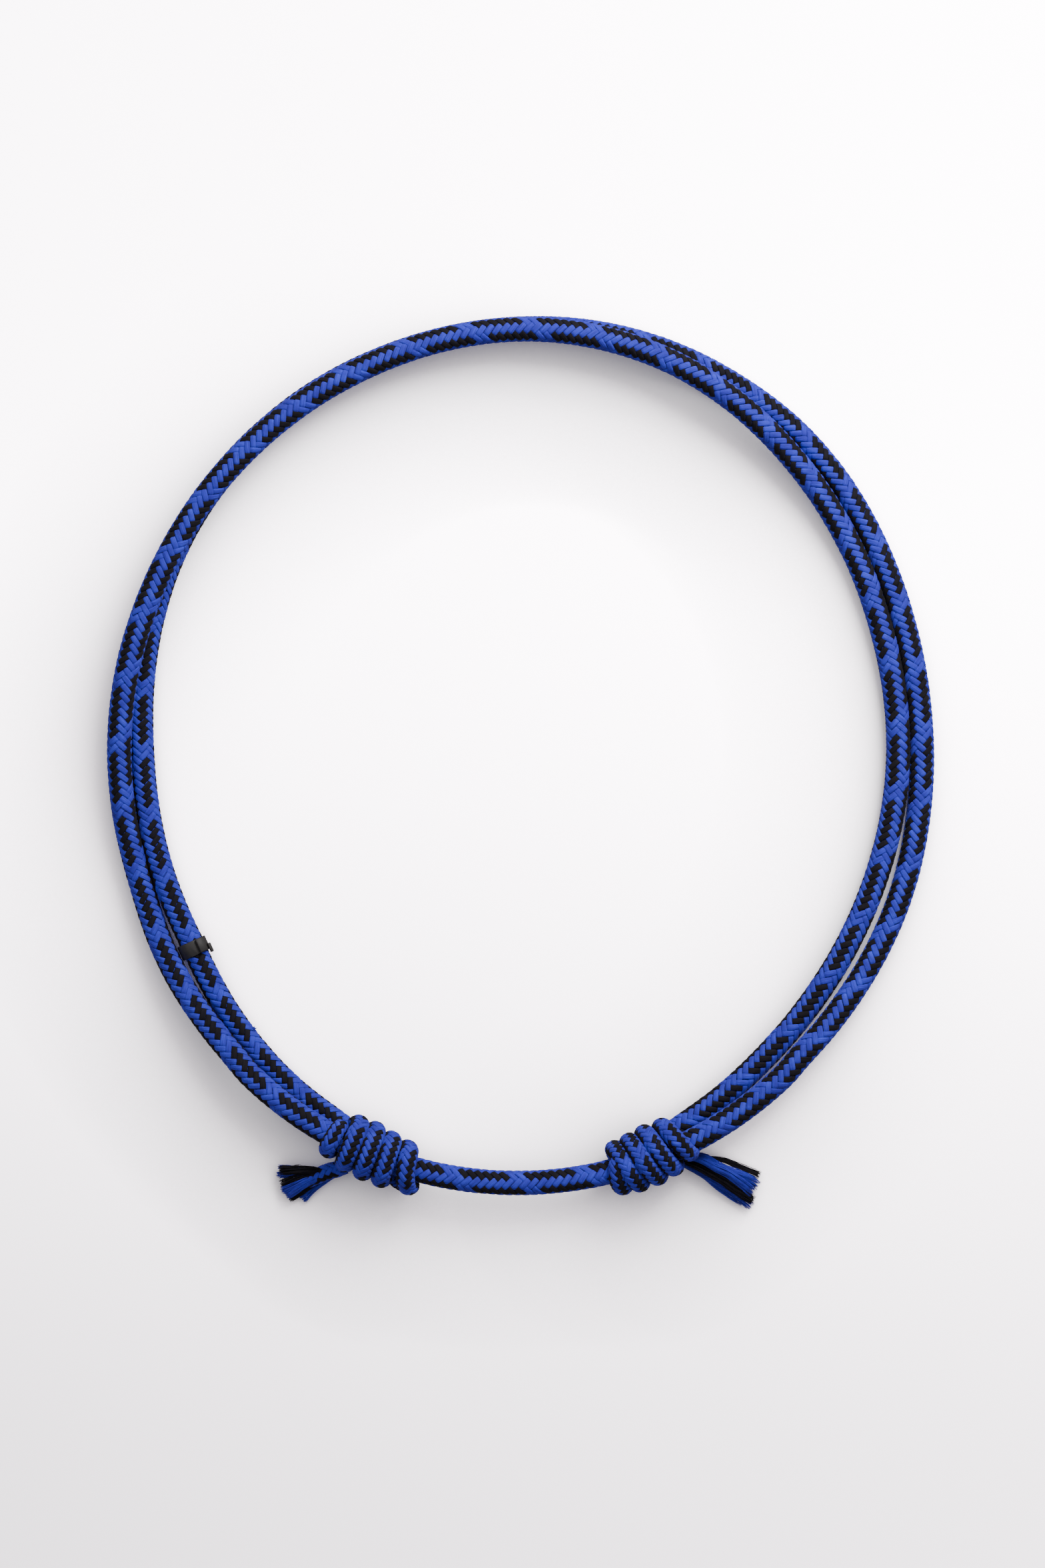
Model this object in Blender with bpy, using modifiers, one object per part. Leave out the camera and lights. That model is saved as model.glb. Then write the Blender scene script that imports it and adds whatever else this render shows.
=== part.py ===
"""Adjustable two-strand rope neck ring for horses.

One length of 12 mm braided rope is laid round twice. Each end is tied in a
sliding barrel knot round the other strand, so the ring is made larger or
smaller by pushing the two knots along the rope. A small plastic tag band
sits on the inner strand. The ring lies flat; +Z is up and +Y is the side
opposite the knots.
"""
import math

import bmesh
import bpy
from mathutils import Matrix, Vector

# ---------------------------------------------------------------- dimensions
ROPE_R = 0.0060           # rope radius over the braid
SHEATH_WALL = 0.0012      # thickness of the braided sheath
GAP = 0.0003              # clearance between touching pieces
SIDES = 8                 # facets round the rope
CORE_R = ROPE_R - (SHEATH_WALL + GAP) / math.cos(math.pi / SIDES)
END_TRIM = 0.0009         # taken off a strand's end where the next length begins
FLOOR_Z = ROPE_R * math.cos(math.pi / SIDES)   # centre of a rope lying flat

# the ring's own centre, from which the strands' bearings and radii are taken
RING_C = Vector((0.0004, 0.0058, 0.0))

# the arc that the two knots slide along
ARC_C = RING_C + Vector((-0.0024, -0.0230, 0.0))
ARC_R = 0.1968
ARC_HALF_DEG = 46.0       # the arc runs this far to each side of straight down
KNOT_Z = 0.0158           # height of the rope's centre inside the knots

# knots
KNOT_TURNS = 5
KNOT_LENGTH = 0.0502
KNOT_CREST = (0.0134, 0.0154, 0.0160, 0.0156, 0.0138)   # radius over each turn
KNOT_GROOVE = 0.0022      # depth of the groove between two turns
KNOT_BORE = 0.0064        # radius of the passage for the rope
KNOT_STEPS = 20
LEFT_KNOT_DEG = 22.3      # knot centres along the arc, measured from straight down
RIGHT_KNOT_DEG = -20.5

TAIL_R = 0.0042           # the loose ends are slacker and thinner than the rope

# tag band
TAG_BEARING = 239.3
TAG_WIDTH = 0.0076
TAG_BORE = 0.00665
TAG_WALL = 0.0013
TAG_SIDES = 10
TAG_Z = (TAG_BORE + TAG_WALL) * math.cos(math.pi / TAG_SIDES)

# Routes: (bearing in degrees clockwise from +Y, distance from the ring's
# centre in mm, height of the rope's centre above the ground in mm).
F = FLOOR_Z * 1000.0
T = TAG_Z * 1000.0
K = KNOT_Z * 1000.0
OVER = F + 12.1           # height where one strand lies on the other

# from the left knot up the inner left side, under the top crossing, and down
# the outer right side to the sliding arc
UNDER_ROUTE = (
    (207.6, 211.5, 6.1), (212.0, 209.7, 6.0), (217.0, 207.3, 6.0), (222.0, 204.7, 6.2),
    (230.0, 200.6, 7.0), (236.0, 197.5, T), (240.0, 195.8, T), (244.0, 195.2, 7.2),
    (250.0, 194.8, 6.1), (256.0, 194.6, F), (262.0, 194.6, F), (270.0, 195.3, F),
    (280.0, 198.3, F), (290.0, 202.3, F), (300.0, 206.4, F), (310.0, 209.5, F),
    (320.0, 211.7, F), (330.0, 213.8, F), (340.0, 215.4, F), (350.0, 217.1, F),
    (360.0, 218.6, F), (370.0, 219.8, F), (380.0, 219.9, F), (390.0, 218.9, F),
    (400.0, 217.6, F), (410.0, 214.7, F), (420.0, 211.0, F), (430.0, 207.9, F),
    (440.0, 206.2, F), (450.0, 205.9, F), (460.0, 206.7, F), (470.0, 208.0, 5.9),
    (478.0, 208.8, 7.1), (484.0, 209.4, 9.2), (490.0, 210.2, 12.2), (494.7, 211.0, 14.6),
)
# from the sliding arc up the outer left side, over the top crossing, and down
# the inner right side to the right knot
OVER_ROUTE = (
    (225.7, 214.0, 15.3), (230.0, 212.8, 13.4), (236.0, 211.5, 10.4), (241.0, 210.1, 8.2),
    (246.0, 208.4, 6.7), (250.0, 207.2, 6.2), (255.0, 206.7, 6.5), (260.0, 206.8, 8.0),
    (265.0, 206.9, 9.9), (270.0, 207.0, 12.1), (275.0, 207.1, 14.1), (280.0, 207.2, 15.7),
    (285.0, 207.3, 16.9), (290.0, 207.3, OVER), (300.0, 208.1, OVER), (310.0, 209.5, OVER),
    (320.0, 211.0, OVER), (330.0, 212.7, OVER), (340.0, 214.5, OVER), (350.0, 216.5, OVER),
    (360.0, 217.8, OVER), (370.0, 217.4, OVER), (380.0, 215.6, OVER), (385.0, 213.9, 17.4),
    (390.0, 211.9, 16.4), (395.0, 209.6, 14.8), (400.0, 207.2, 12.8), (405.0, 205.0, 10.7),
    (410.0, 202.9, 8.6), (415.0, 200.9, 7.0), (420.0, 199.2, 6.0), (430.0, 196.1, F),
    (440.0, 194.5, F), (450.0, 193.7, F), (460.0, 193.2, F), (470.0, 193.2, F),
    (480.0, 194.2, F), (490.0, 196.2, F), (500.0, 199.5, 5.8), (505.0, 201.9, 6.0),
    (511.0, 205.2, 6.0), (515.2, 207.5, 6.1),
)
SLACK_BEARING_LEFT = 234.0     # the strand from the left knot gives up to here
SLACK_BEARING_RIGHT = 484.0    # and the strand from the right knot from here

COLOURS = {
    "sheath": (0.030, 0.090, 0.560, 1.0),
    "core": (0.300, 0.330, 0.420, 1.0),
    "knot": (0.026, 0.075, 0.480, 1.0),
    "frayed": (0.035, 0.100, 0.600, 1.0),
    "plastic": (0.028, 0.026, 0.025, 1.0),
}
ROUGHNESS = {"sheath": 0.85, "core": 0.9, "knot": 0.85, "frayed": 0.8, "plastic": 0.5}

# ------------------------------------------------------------------ helpers
for old in list(bpy.data.objects):
    bpy.data.objects.remove(old, do_unlink=True)

parts = bpy.data.collections.new("rope_neck_ring")
bpy.context.scene.collection.children.link(parts)


def material(name, kind):
    mat = bpy.data.materials.new(name)
    mat.use_nodes = True
    shader = mat.node_tree.nodes["Principled BSDF"]
    shader.inputs["Base Color"].default_value = COLOURS[kind]
    shader.inputs["Roughness"].default_value = ROUGHNESS[kind]
    shader.inputs["Metallic"].default_value = 0.0
    return mat


def pivot(name, point):
    empty = bpy.data.objects.new(name, None)
    empty.empty_display_size = 0.02
    empty.location = point
    parts.objects.link(empty)
    return empty


def finish(obj, kind, parent=None):
    obj.data.materials.clear()
    obj.data.materials.append(material(obj.name, kind))
    if parent is not None:
        obj.parent = parent
    return obj


def bearing_point(bearing, radius_mm, height_mm):
    a = math.radians(bearing)
    return Vector((RING_C.x + radius_mm / 1000.0 * math.sin(a),
                   RING_C.y + radius_mm / 1000.0 * math.cos(a),
                   height_mm / 1000.0))


def arc_point(deg, radius=None, height=KNOT_Z):
    """A point of the sliding arc; deg is positive to the left of straight down."""
    a = math.radians(deg)
    r = ARC_R if radius is None else radius
    return Vector((ARC_C.x - r * math.sin(a), ARC_C.y - r * math.cos(a), height))


def smooth(stations, value, x):
    """Catmull-Rom value through stations placed at uneven bearings."""
    n = len(stations)
    i = 0
    while i < n - 2 and x > stations[i + 1][0]:
        i += 1
    x0, x1 = stations[i][0], stations[i + 1][0]
    y0, y1 = stations[i][value], stations[i + 1][value]

    def slope(j):
        a, b = max(j - 1, 0), min(j + 1, n - 1)
        return (stations[b][value] - stations[a][value]) / (stations[b][0] - stations[a][0])

    h = x1 - x0
    t = (x - x0) / h
    m0, m1 = slope(i) * h, slope(i + 1) * h
    return ((2 * t**3 - 3 * t**2 + 1) * y0 + (t**3 - 2 * t**2 + t) * m0
            + (-2 * t**3 + 3 * t**2) * y1 + (t**3 - t**2) * m1)


def route_points(stations, start, end, spacing):
    """Points along a strand between two bearings, about one spacing apart."""
    steps = max(2, round(math.radians(end - start) * 0.206 / spacing))
    out = []
    for i in range(steps + 1):
        b = start + (end - start) * i / steps
        height = max(smooth(stations, 2, b), F)
        out.append(bearing_point(b, smooth(stations, 1, b), height))
    return out


def arc_points(start, end, spacing):
    steps = round(abs(math.radians(end - start)) * ARC_R / spacing)
    return [arc_point(start + (end - start) * i / steps) for i in range(steps + 1)]


def rope_curve(name, points, radius, origin=Vector((0, 0, 0)), caps=True, sides=SIDES):
    """A round tube on a poly spline, with a flat facet underneath."""
    curve = bpy.data.curves.new(name, "CURVE")
    curve.dimensions = "3D"
    curve.twist_mode = "Z_UP"
    curve.bevel_depth = radius
    curve.bevel_resolution = (sides - 4) // 2
    curve.resolution_u = 1
    curve.render_resolution_u = 0
    curve.use_fill_caps = caps
    line = curve.splines.new("POLY")
    line.points.add(len(points) - 1)
    for p, q in zip(line.points, points):
        p.co = (*(q - origin), 1.0)
        p.tilt = math.pi / sides
    obj = bpy.data.objects.new(name, curve)
    obj.location = origin
    parts.objects.link(obj)
    return obj


def as_mesh(obj):
    """Turn a curve or modified object into a welded mesh object in its place."""
    bpy.context.view_layer.update()
    graph = bpy.context.evaluated_depsgraph_get()
    mesh = bpy.data.meshes.new_from_object(obj.evaluated_get(graph))
    bm = bmesh.new()
    bm.from_mesh(mesh)
    bmesh.ops.remove_doubles(bm, verts=bm.verts, dist=1e-6)
    bmesh.ops.recalc_face_normals(bm, faces=bm.faces)
    bm.to_mesh(mesh)
    bm.free()
    new = bpy.data.objects.new(obj.name, mesh)
    new.matrix_world = obj.matrix_world.copy()
    name = obj.name
    bpy.data.objects.remove(obj, do_unlink=True)
    new.name = name
    parts.objects.link(new)
    return new


def sheath(name, points):
    """The braided sheath: an open-ended tube with a wall."""
    tube = as_mesh(rope_curve(name, points, ROPE_R, caps=False))
    # the open tube must face outwards before it is given its wall
    mesh = tube.data
    face = mesh.polygons[len(mesh.polygons) // 2]
    near = min(points, key=lambda p: (p - face.center).length)
    if face.normal.dot(face.center - near) < 0:
        mesh.flip_normals()
    wall = tube.modifiers.new("wall", "SOLIDIFY")
    wall.thickness = SHEATH_WALL
    wall.offset = -1.0
    wall.use_even_offset = True
    wall.use_rim = True
    mesh.shade_smooth()
    mesh.set_sharp_from_angle(angle=math.radians(60))
    return finish(tube, "sheath")


def core(name, points):
    """The yarn core that keeps the rope round, a little shorter than its sheath."""
    a = points[0] + (points[1] - points[0]).normalized() * 0.0006
    b = points[-1] + (points[-2] - points[-1]).normalized() * 0.0006
    return finish(rope_curve(name, [a] + points[1:-1] + [b], CORE_R), "core")


def trimmed(points, at_start, at_end):
    """The same points with a short length taken off either end."""
    out = list(points)
    if at_start:
        out[0] = out[0] + (out[1] - out[0]).normalized() * at_start
    if at_end:
        out[-1] = out[-1] + (out[-2] - out[-1]).normalized() * at_end
    return out


def turned(name, profile, steps):
    """A closed profile (radius, height) turned about Z; the outer side runs top to bottom."""
    mesh = bpy.data.meshes.new(name)
    n = len(profile)
    mesh.from_pydata([(r, 0.0, z) for r, z in profile], [(i, (i + 1) % n) for i in range(n)], [])
    obj = bpy.data.objects.new(name, mesh)
    parts.objects.link(obj)
    screw = obj.modifiers.new("turn", "SCREW")
    screw.axis = "Z"
    screw.steps = steps
    screw.render_steps = steps
    screw.use_merge_vertices = True
    screw.merge_threshold = 1e-6
    return as_mesh(obj)


def knot_profile():
    """Five rounded turns on the outside, a plain bore inside."""
    pitch = KNOT_LENGTH / KNOT_TURNS
    outer = []
    for i, crest in enumerate(KNOT_CREST):
        top = KNOT_LENGTH / 2 - i * pitch
        fall = 0.0030 if i == 0 else KNOT_GROOVE
        rise = 0.0030 if i == KNOT_TURNS - 1 else KNOT_GROOVE
        if i == 0:
            outer.append((crest - fall, top))
        outer.append((crest - 0.0003, top - 0.26 * pitch))
        outer.append((crest, top - 0.50 * pitch))
        outer.append((crest - 0.0003, top - 0.74 * pitch))
        after = min(KNOT_CREST[min(i + 1, KNOT_TURNS - 1)], crest)
        outer.append((after - rise, top - pitch))
    inner = []
    rows = 6
    for i in range(rows + 1):
        inner.append((KNOT_BORE, -KNOT_LENGTH / 2 + KNOT_LENGTH * i / rows))
    return outer + inner


def knot(name, centre_deg, parent):
    """A turned knot bent along the sliding arc."""
    obj = turned(name, knot_profile(), KNOT_STEPS)
    half = math.pi / KNOT_STEPS
    for v in obj.data.vertices:
        # half a step of turn puts a flat of each turn underneath
        x = v.co.x * math.cos(half) - v.co.y * math.sin(half)
        y = v.co.x * math.sin(half) + v.co.y * math.cos(half)
        deg = centre_deg + math.degrees(v.co.z / ARC_R)
        p = arc_point(deg, ARC_R + x, KNOT_Z + y)
        v.co = p - ARC_C
    obj.data.update()
    bm = bmesh.new()
    bm.from_mesh(obj.data)
    bmesh.ops.recalc_face_normals(bm, faces=bm.faces)
    bm.to_mesh(obj.data)
    bm.free()
    obj.data.shade_smooth()
    obj.data.set_sharp_from_angle(angle=math.radians(50))
    return finish(obj, "knot", parent)


def brush(name, base, tip, root_r, tip_half_width, tip_half_height, parent):
    """A frayed end: a cone that spreads sideways and flattens towards its tip."""
    way = tip - base
    along = way.normalized()
    side = Vector((0, 0, 1)).cross(along).normalized()
    up = along.cross(side)
    bm = bmesh.new()
    bmesh.ops.create_cone(bm, cap_ends=True, segments=12, radius1=1.0, radius2=1.0, depth=1.0)
    cut = [e for e in bm.edges if abs(e.verts[0].co.z - e.verts[1].co.z) > 0.5]
    bmesh.ops.subdivide_edges(bm, edges=cut, cuts=2, use_grid_fill=True)
    for v in bm.verts:
        t = v.co.z + 0.5
        half_w = root_r + (tip_half_width - root_r) * t**0.8
        half_h = root_r + (tip_half_height - root_r) * t
        middle = base + way * t
        v.co = middle + side * (v.co.x * half_w) + up * (v.co.y * half_h) - ARC_C
    if bm.calc_volume(signed=True) < 0:
        bmesh.ops.reverse_faces(bm, faces=bm.faces)
    mesh = bpy.data.meshes.new(name)
    bm.to_mesh(mesh)
    bm.free()
    obj = bpy.data.objects.new(name, mesh)
    parts.objects.link(obj)
    mesh.shade_smooth()
    mesh.set_sharp_from_angle(angle=math.radians(50))
    return finish(obj, "frayed", parent)


# ------------------------------------------------------------- the rope ring
under = route_points(UNDER_ROUTE + ((498.93, 211.8, K),), SLACK_BEARING_LEFT, 498.93, 0.022)
under = trimmed(under, END_TRIM, END_TRIM)
sheath("under_strand_sheath", under)
core("under_strand_core", under)

over = route_points(((222.04, 215.0, K),) + OVER_ROUTE, 222.04, SLACK_BEARING_RIGHT, 0.022)
over = trimmed(over, END_TRIM, END_TRIM)
sheath("over_strand_sheath", over)
core("over_strand_core", over)

bridge = arc_points(-ARC_HALF_DEG, ARC_HALF_DEG, 0.0125)
sheath("bridge_strand_sheath", bridge)
core("bridge_strand_core", bridge)

# ------------------------------------------------------------------ the knots
left_pivot = pivot("left_knot_pivot", ARC_C)
right_pivot = pivot("right_knot_pivot", ARC_C)
knot("left_knot_wraps", LEFT_KNOT_DEG, left_pivot)
knot("right_knot_wraps", RIGHT_KNOT_DEG, right_pivot)

left_slack = route_points(UNDER_ROUTE, 208.2, SLACK_BEARING_LEFT, 0.018)
obj = rope_curve("left_standing_end", left_slack, ROPE_R)
finish(obj, "sheath")
right_slack = route_points(OVER_ROUTE, SLACK_BEARING_RIGHT, 514.9, 0.018)
obj = rope_curve("right_standing_end", right_slack, ROPE_R)
finish(obj, "sheath")

# loose ends: a short braided tail, then the frayed brush
left_root = arc_point(27.4, ARC_R + 0.0160, 0.0100)
left_bend = arc_point(27.9, ARC_R + 0.0195, 0.0072)
left_neck = RING_C + Vector((-0.1115, -0.2166, 0.0062))
left_tip = RING_C + Vector((-0.1275, -0.2216, 0.0049))
obj = rope_curve("left_tail", [left_root, left_bend, left_neck], TAIL_R)
finish(obj, "knot")
start = left_neck + (left_tip - left_neck).normalized() * 2 * GAP
brush("left_tassel", start, left_tip, TAIL_R, 0.0084, 0.0046, left_pivot)

right_root = arc_point(-25.0, ARC_R + 0.0162, 0.0100)
right_bend = arc_point(-25.6, ARC_R + 0.0196, 0.0072)
right_neck = RING_C + Vector((0.0980, -0.2206, 0.0062))
right_tip = RING_C + Vector((0.1195, -0.2270, 0.0049))
obj = rope_curve("right_tail", [right_root, right_bend, right_neck], TAIL_R)
finish(obj, "knot")
start = right_neck + (right_tip - right_neck).normalized() * 2 * GAP
brush("right_tassel", start, right_tip, TAIL_R, 0.0092, 0.0046, right_pivot)

for name, root in (("left_standing_end", left_pivot), ("left_tail", left_pivot),
                   ("right_standing_end", right_pivot), ("right_tail", right_pivot)):
    curve = bpy.data.objects[name]
    for p in curve.data.splines[0].points:
        x, y, z, w = p.co
        p.co = (x - ARC_C.x, y - ARC_C.y, z - ARC_C.z, w)
    curve.parent = root

# --------------------------------------------------------------- the tag band
tag_at = bearing_point(TAG_BEARING, smooth(UNDER_ROUTE, 1, TAG_BEARING), T)
ahead = bearing_point(TAG_BEARING + 1, smooth(UNDER_ROUTE, 1, TAG_BEARING + 1), T)
behind = bearing_point(TAG_BEARING - 1, smooth(UNDER_ROUTE, 1, TAG_BEARING - 1), T)
tangent = (ahead - behind).normalized()
up = Vector((0, 0, 1))
inward = up.cross(tangent)
if inward.dot(RING_C - tag_at) < 0:
    inward.negate()
down = tangent.cross(inward)
tag_pivot = pivot("tag_band_pivot", tag_at)
tag_pivot.rotation_euler = Matrix((inward, down, tangent)).transposed().to_euler()


def tag_piece(obj, angle=None):
    """Pieces of the band are built round the rope's own axis as local Z."""
    if angle is not None:
        obj.data.transform(Matrix.Rotation(angle, 4, "Z"))
    return finish(obj, "plastic", tag_pivot)


strap = turned("tag_strap", [
    (TAG_BORE + TAG_WALL, TAG_WIDTH / 2), (TAG_BORE + TAG_WALL, -TAG_WIDTH / 2),
    (TAG_BORE, -TAG_WIDTH / 2), (TAG_BORE, TAG_WIDTH / 2)], TAG_SIDES)
# a facet underneath, so that the band rests flat
tag_piece(strap, math.pi / 2 - math.pi / TAG_SIDES)

# the buckle plate sits on the upper inner facet, the latch tab on the facet below it
BUCKLE_ANGLE = math.radians(-54.0)
LATCH_ANGLE = math.radians(-18.0)


def block(name, size, centre, bevel):
    bm = bmesh.new()
    bmesh.ops.create_cube(bm, size=1.0)
    for v in bm.verts:
        v.co = Vector((v.co.x * size[0], v.co.y * size[1], v.co.z * size[2]))
    bmesh.ops.bevel(bm, geom=list(bm.edges), offset=bevel, segments=1, affect="EDGES")
    for v in bm.verts:
        v.co += Vector(centre)
    bmesh.ops.recalc_face_normals(bm, faces=bm.faces)
    mesh = bpy.data.meshes.new(name)
    bm.to_mesh(mesh)
    bm.free()
    obj = bpy.data.objects.new(name, mesh)
    parts.objects.link(obj)
    return obj


plate = 0.0015
flat = (TAG_BORE + TAG_WALL) * math.cos(math.pi / TAG_SIDES)
tag_piece(block("tag_buckle", (plate, 0.0046, 0.0072), (flat + GAP + plate / 2, 0.0, 0.0), 0.0003), BUCKLE_ANGLE)
# the latch tab: the rounded end of the strap, beside the buckle on the side of the knot
tag_piece(block("tag_latch_tab", (0.0013, 0.0026, 0.0050), (flat + GAP + 0.00065, 0.0003, -0.0032), 0.0004), LATCH_ANGLE)
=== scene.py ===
"""The looks of the two-strand rope neck ring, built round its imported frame."""
import math

import bmesh
import bpy
import numpy as np
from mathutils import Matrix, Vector


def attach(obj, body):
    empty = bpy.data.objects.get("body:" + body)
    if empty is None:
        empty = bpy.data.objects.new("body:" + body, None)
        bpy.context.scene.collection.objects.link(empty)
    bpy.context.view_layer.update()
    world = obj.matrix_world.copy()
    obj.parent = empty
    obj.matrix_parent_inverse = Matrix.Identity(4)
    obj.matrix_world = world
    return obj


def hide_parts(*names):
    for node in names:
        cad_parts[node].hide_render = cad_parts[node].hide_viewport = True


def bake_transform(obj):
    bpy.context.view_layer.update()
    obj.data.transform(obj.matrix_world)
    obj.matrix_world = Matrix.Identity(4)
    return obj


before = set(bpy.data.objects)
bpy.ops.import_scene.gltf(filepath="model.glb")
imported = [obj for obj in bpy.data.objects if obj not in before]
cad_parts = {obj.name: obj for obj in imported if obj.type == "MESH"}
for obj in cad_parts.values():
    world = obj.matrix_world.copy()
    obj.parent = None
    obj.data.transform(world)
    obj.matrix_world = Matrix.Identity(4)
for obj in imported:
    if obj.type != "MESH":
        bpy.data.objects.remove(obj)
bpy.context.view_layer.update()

SCENE = bpy.context.scene
rng = np.random.default_rng(20261)

# ------------------------------------------------------------- shared measures
ROPE_R = 0.0060
RING_C = np.array([0.0004, 0.0058, 0.0])
ARC_C = RING_C + np.array([-0.0024, -0.0230, 0.0])
ARC_R = 0.1968
KNOT_Z = 0.0158
LEFT_KNOT_DEG = 22.3
RIGHT_KNOT_DEG = -20.5
FLOOR_Z = ROPE_R * math.cos(math.pi / 8)
F = FLOOR_Z * 1000.0
T_ = (0.00665 + 0.0013) * math.cos(math.pi / 10) * 1000.0
K = KNOT_Z * 1000.0
OVER = F + 12.1
LAY = 0.0332              # one full turn of a carrier along the rope

UNDER_ROUTE = (
    (203.5, 214.6, 8.4), (207.6, 211.5, 6.1), (212.0, 209.7, 6.0), (217.0, 207.3, 6.0), (222.0, 204.7, 6.2),
    (230.0, 200.6, 7.0), (236.0, 197.5, T_), (240.0, 195.8, T_), (244.0, 195.2, 7.2),
    (250.0, 194.8, 6.1), (256.0, 194.6, F), (262.0, 194.6, F), (270.0, 195.3, F),
    (280.0, 198.3, F), (290.0, 202.3, F), (300.0, 206.4, F), (310.0, 209.5, F),
    (320.0, 211.7, F), (330.0, 213.8, F), (340.0, 215.4, F), (350.0, 217.1, F),
    (360.0, 218.6, F), (370.0, 219.8, F), (380.0, 219.9, F), (390.0, 218.9, F),
    (400.0, 217.6, F), (410.0, 214.7, F), (420.0, 211.0, F), (430.0, 207.9, F),
    (440.0, 206.2, F), (450.0, 205.9, F), (460.0, 206.7, F), (470.0, 208.0, 5.9),
    (478.0, 208.8, 7.1), (484.0, 209.4, 9.2), (490.0, 210.2, 12.2), (494.7, 211.0, 14.6),
    (498.93, 211.8, K),
)
OVER_ROUTE = (
    (222.04, 215.0, K),
    (225.7, 214.0, 15.3), (230.0, 212.8, 13.4), (236.0, 211.5, 10.4), (241.0, 210.1, 8.2),
    (246.0, 208.4, 6.7), (250.0, 207.2, 6.2), (255.0, 206.7, 6.5), (260.0, 206.8, 8.0),
    (265.0, 206.9, 9.9), (270.0, 207.0, 12.1), (275.0, 207.1, 14.1), (280.0, 207.2, 15.7),
    (285.0, 207.3, 16.9), (290.0, 207.3, OVER), (300.0, 208.1, OVER), (310.0, 209.5, OVER),
    (320.0, 211.0, OVER), (330.0, 212.7, OVER), (340.0, 214.5, OVER), (350.0, 216.5, OVER),
    (360.0, 217.8, OVER), (370.0, 217.4, OVER), (380.0, 215.6, OVER), (385.0, 213.9, 17.4),
    (390.0, 211.9, 16.4), (395.0, 209.6, 14.8), (400.0, 207.2, 12.8), (405.0, 205.0, 10.7),
    (410.0, 202.9, 8.6), (415.0, 200.9, 7.0), (420.0, 199.2, 6.0), (430.0, 196.1, F),
    (440.0, 194.5, F), (450.0, 193.7, F), (460.0, 193.2, F), (470.0, 193.2, F),
    (480.0, 194.2, F), (490.0, 196.2, F), (500.0, 199.5, 5.8), (505.0, 201.9, 6.0),
    (511.0, 205.2, 6.0), (515.2, 207.5, 6.1), (519.5, 210.8, 8.4),
)

# ---------------------------------------------------------------- path algebra


def catmull(stations, column, x):
    st = np.array(stations, float)
    xs, ys = st[:, 0], st[:, column]
    n = len(xs)
    i = np.clip(np.searchsorted(xs, x, side="right") - 1, 0, n - 2)
    slopes = np.empty(n)
    slopes[1:-1] = (ys[2:] - ys[:-2]) / (xs[2:] - xs[:-2])
    slopes[0] = (ys[1] - ys[0]) / (xs[1] - xs[0])
    slopes[-1] = (ys[-1] - ys[-2]) / (xs[-1] - xs[-2])
    h = xs[i + 1] - xs[i]
    t = (x - xs[i]) / h
    return ((2 * t**3 - 3 * t**2 + 1) * ys[i] + (t**3 - 2 * t**2 + t) * slopes[i] * h
            + (-2 * t**3 + 3 * t**2) * ys[i + 1] + (t**3 - t**2) * slopes[i + 1] * h)


def route(stations, start, end):
    b = np.arange(start, end, 0.12)
    b = np.append(b, end)
    r = catmull(stations, 1, b) / 1000.0
    z = np.maximum(catmull(stations, 2, b), F) / 1000.0
    r = r - 0.00125 * np.clip((z - 0.006) / 0.0116, 0, 1)
    a = np.radians(b)
    return np.stack([RING_C[0] + r * np.sin(a), RING_C[1] + r * np.cos(a), z], 1), b


def arc(start, end, radius=ARC_R, height=KNOT_Z):
    d = np.arange(start, end, 0.12)
    d = np.append(d, end)
    a = np.radians(d)
    return np.stack([ARC_C[0] - radius * np.sin(a), ARC_C[1] - radius * np.cos(a),
                     np.full_like(a, height)], 1), d


def unit(v):
    return v / np.maximum(np.linalg.norm(v, axis=-1, keepdims=True), 1e-12)


def gauss(values, sigma):
    """Smooths columns of values, ends held."""
    if sigma <= 0:
        return values
    reach = int(math.ceil(3 * sigma))
    k = np.exp(-0.5 * (np.arange(-reach, reach + 1) / sigma) ** 2)
    k /= k.sum()
    head = 2 * values[0] - values[reach:0:-1]
    tail = 2 * values[-1] - values[-2:-reach - 2:-1]
    padded = np.concatenate([head, values, tail])
    return np.stack([np.convolve(padded[:, i], k, mode="valid") for i in range(values.shape[1])], 1)


class Path:
    """A smooth centreline with a frame: T along it, N up or outward, B = T x N."""

    def __init__(self, points, up=(0, 0, 1), step=0.0005, smooth=0.0):
        points = np.asarray(points, float)
        ups = np.broadcast_to(np.asarray(up, float), points.shape)
        s = np.concatenate([[0], np.cumsum(np.linalg.norm(np.diff(points, axis=0), axis=1))])
        n = max(8, int(round(s[-1] / step)))
        q = np.linspace(0, s[-1], n + 1)
        P = np.stack([np.interp(q, s, points[:, i]) for i in range(3)], 1)
        U = np.stack([np.interp(q, s, ups[:, i]) for i in range(3)], 1)
        if smooth:
            P = gauss(P, smooth / (q[1] - q[0]))
        self.raw = s
        self.s = np.concatenate([[0], np.cumsum(np.linalg.norm(np.diff(P, axis=0), axis=1))])
        self.q = q
        self.length = self.s[-1]
        self.P = P
        self.T = unit(np.gradient(P, self.s, axis=0))
        self.N = unit(U - (U * self.T).sum(1, keepdims=True) * self.T)
        self.B = np.cross(self.T, self.N)

    def at(self, s):
        def pick(a):
            return np.stack([np.interp(s, self.s, a[:, i]) for i in range(3)], -1)
        return pick(self.P), unit(pick(self.T)), unit(pick(self.N)), unit(pick(self.B))


# ------------------------------------------------------------------- mesh making


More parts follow.
